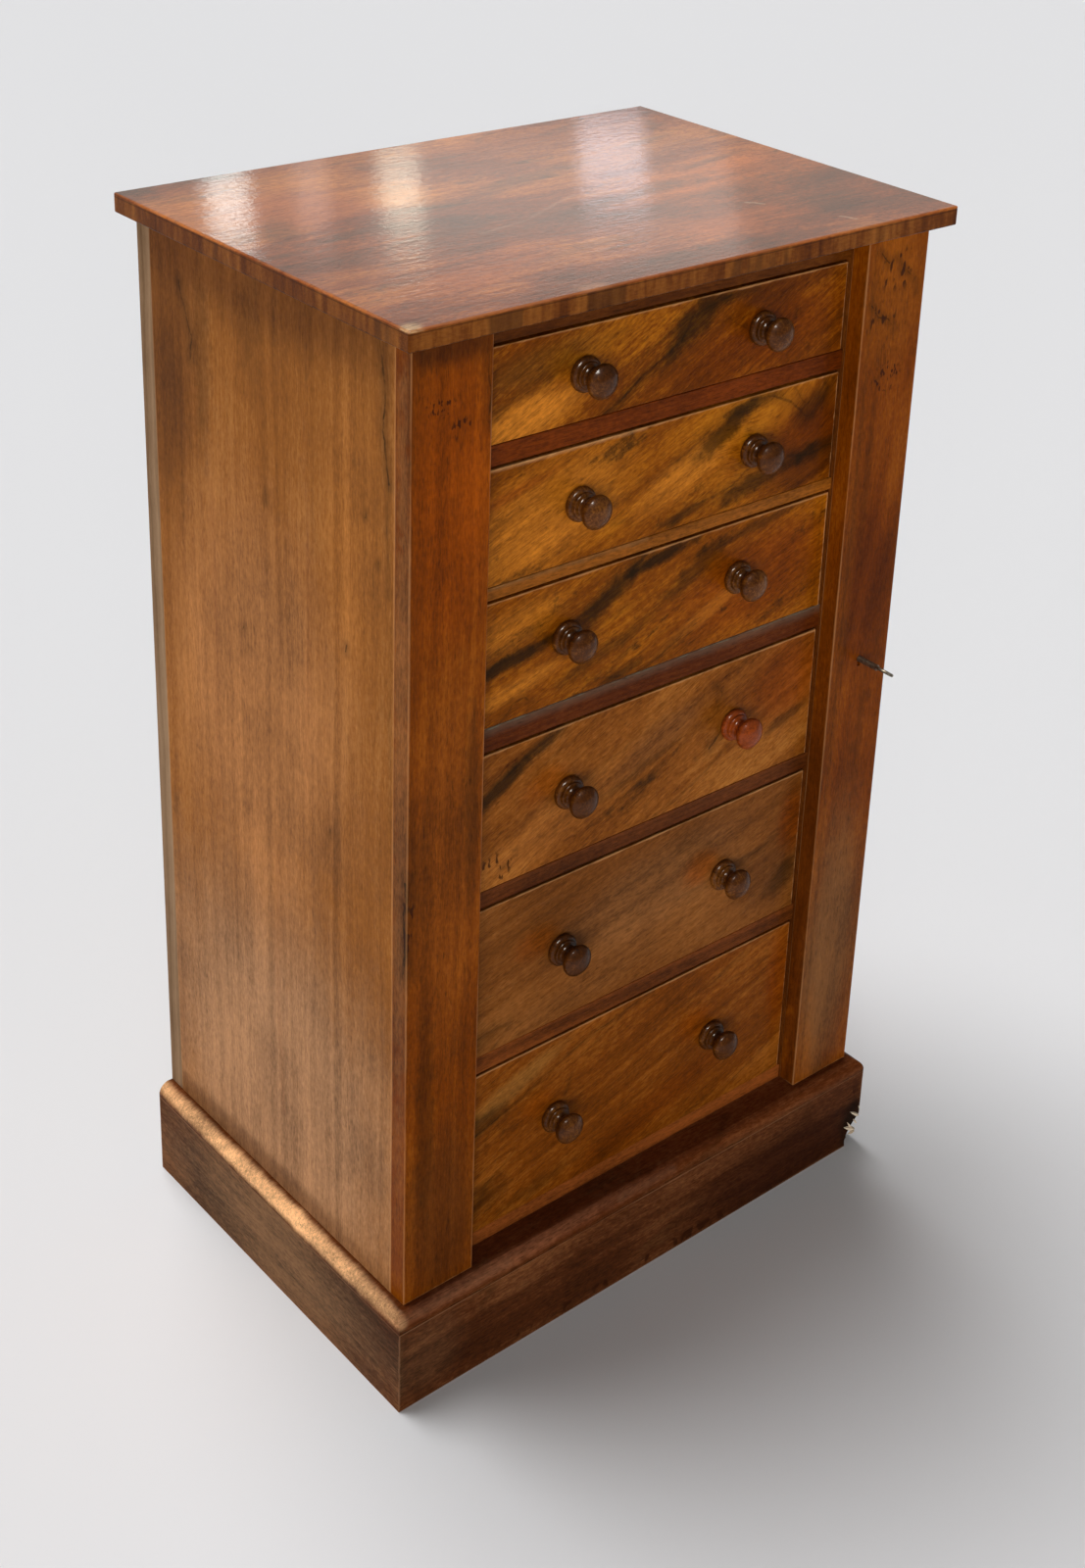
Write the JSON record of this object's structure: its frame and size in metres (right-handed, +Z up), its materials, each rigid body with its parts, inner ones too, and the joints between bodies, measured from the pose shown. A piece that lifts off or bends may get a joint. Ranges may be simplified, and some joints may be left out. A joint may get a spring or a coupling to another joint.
{
  "type": "wellington chest",
  "caption": "Tall narrow wooden chest of graduated drawers with turned knobs, locked by a hinged stile down its right side, on a moulded plinth.",
  "frame": {"origin": "on the floor under the middle of the whole chest, its key and its top's overhang included", "axes": "+X to the right as one faces the drawers, +Y to the back, +Z up"},
  "size_m": [0.615, 0.462, 1.06],
  "materials": {
    "top_veneer": "polished, worn",
    "side_walnut": "waxed, faded",
    "pilaster_walnut": "polished, worn",
    "drawer_veneer": "polished",
    "rail_walnut": "polished",
    "knob_walnut": "polished",
    "plinth_walnut": "worn polish",
    "pine": "unfinished",
    "brass": "aged",
    "key_iron": "worn bright"
  },
  "bodies": {
    "root": {"top_board": "top_veneer", "side_left": "side_walnut", "side_right": "side_walnut", "left_pilaster": "pilaster_walnut", "left_post": "pine", "right_post": "pine", "top_rail": "rail_walnut", "drawer_rails": "rail_walnut", "bottom_rail": "rail_walnut", "bottom_board": "pine", "drawer_runners": "pine", "drawer_guides": "pine", "dustboards": "pine", "drawer_stops": "pine", "back_frame": "pine", "back_panels": "pine", "base_moulding": "plinth_walnut", "plinth_front": "plinth_walnut", "plinth_sides": "plinth_walnut", "plinth_back": "pine", "plinth_blocks": "pine", "hinge_fixed_leaves": "brass", "hinge_pins": "brass", "lock_staple": "brass"},
    "locking_stile": {"locking_stile": "pilaster_walnut", "hinge_moving_leaves": "brass", "lock_case": "brass"},
    "lock_bolt": {"lock_bolt": "brass"},
    "key": {"key": "key_iron"},
    "drawer_1": {"drawer_1_front": "drawer_veneer", "drawer_1_sides": "pine", "drawer_1_back": "pine", "drawer_1_bottom": "pine", "drawer_1_knobs": "knob_walnut"},
    "drawer_2": {"drawer_2_front": "drawer_veneer", "drawer_2_sides": "pine", "drawer_2_back": "pine", "drawer_2_bottom": "pine", "drawer_2_knobs": "knob_walnut"},
    "drawer_3": {"drawer_3_front": "drawer_veneer", "drawer_3_sides": "pine", "drawer_3_back": "pine", "drawer_3_bottom": "pine", "drawer_3_knobs": "knob_walnut", "drawer_3_end_slip": "drawer_veneer"},
    "drawer_4": {"drawer_4_front": "drawer_veneer", "drawer_4_sides": "pine", "drawer_4_back": "pine", "drawer_4_bottom": "pine", "drawer_4_knobs": "knob_walnut"},
    "drawer_5": {"drawer_5_front": "drawer_veneer", "drawer_5_sides": "pine", "drawer_5_back": "pine", "drawer_5_bottom": "pine", "drawer_5_knobs": "knob_walnut"},
    "drawer_6": {"drawer_6_front": "drawer_veneer", "drawer_6_sides": "pine", "drawer_6_back": "pine", "drawer_6_bottom": "pine", "drawer_6_knobs": "knob_walnut"}
  },
  "joints": [
    {"name": "stile_hinge", "type": "hinge", "parent": "root", "child": "locking_stile", "pos_m": [0.2954, -0.16775, 0.605], "axis": [0, 0, 1], "range_deg": [0, 170]},
    {"name": "key_turn", "type": "hinge", "parent": "locking_stile", "child": "key", "pos_m": [0.2525, -0.188, 0.605], "axis": [0, 1, 0], "range_deg": [0, 180]},
    {"name": "bolt_slide", "type": "slide", "parent": "locking_stile", "child": "lock_bolt", "axis": [-1, 0, 0], "range_m": [0, 0.009]},
    {"name": "drawer_1_slide", "type": "slide", "parent": "root", "child": "drawer_1", "axis": [0, -1, 0], "range_m": [0, 0.3]},
    {"name": "drawer_2_slide", "type": "slide", "parent": "root", "child": "drawer_2", "axis": [0, -1, 0], "range_m": [0, 0.3]},
    {"name": "drawer_3_slide", "type": "slide", "parent": "root", "child": "drawer_3", "axis": [0, -1, 0], "range_m": [0, 0.3]},
    {"name": "drawer_4_slide", "type": "slide", "parent": "root", "child": "drawer_4", "axis": [0, -1, 0], "range_m": [0, 0.3]},
    {"name": "drawer_5_slide", "type": "slide", "parent": "root", "child": "drawer_5", "axis": [0, -1, 0], "range_m": [0, 0.3]},
    {"name": "drawer_6_slide", "type": "slide", "parent": "root", "child": "drawer_6", "axis": [0, -1, 0], "range_m": [0, 0.3]}
  ],
  "couplings": [
    {"joint": "key_turn", "follows": "bolt_slide", "rad_per_m": 349.06}
  ]
}
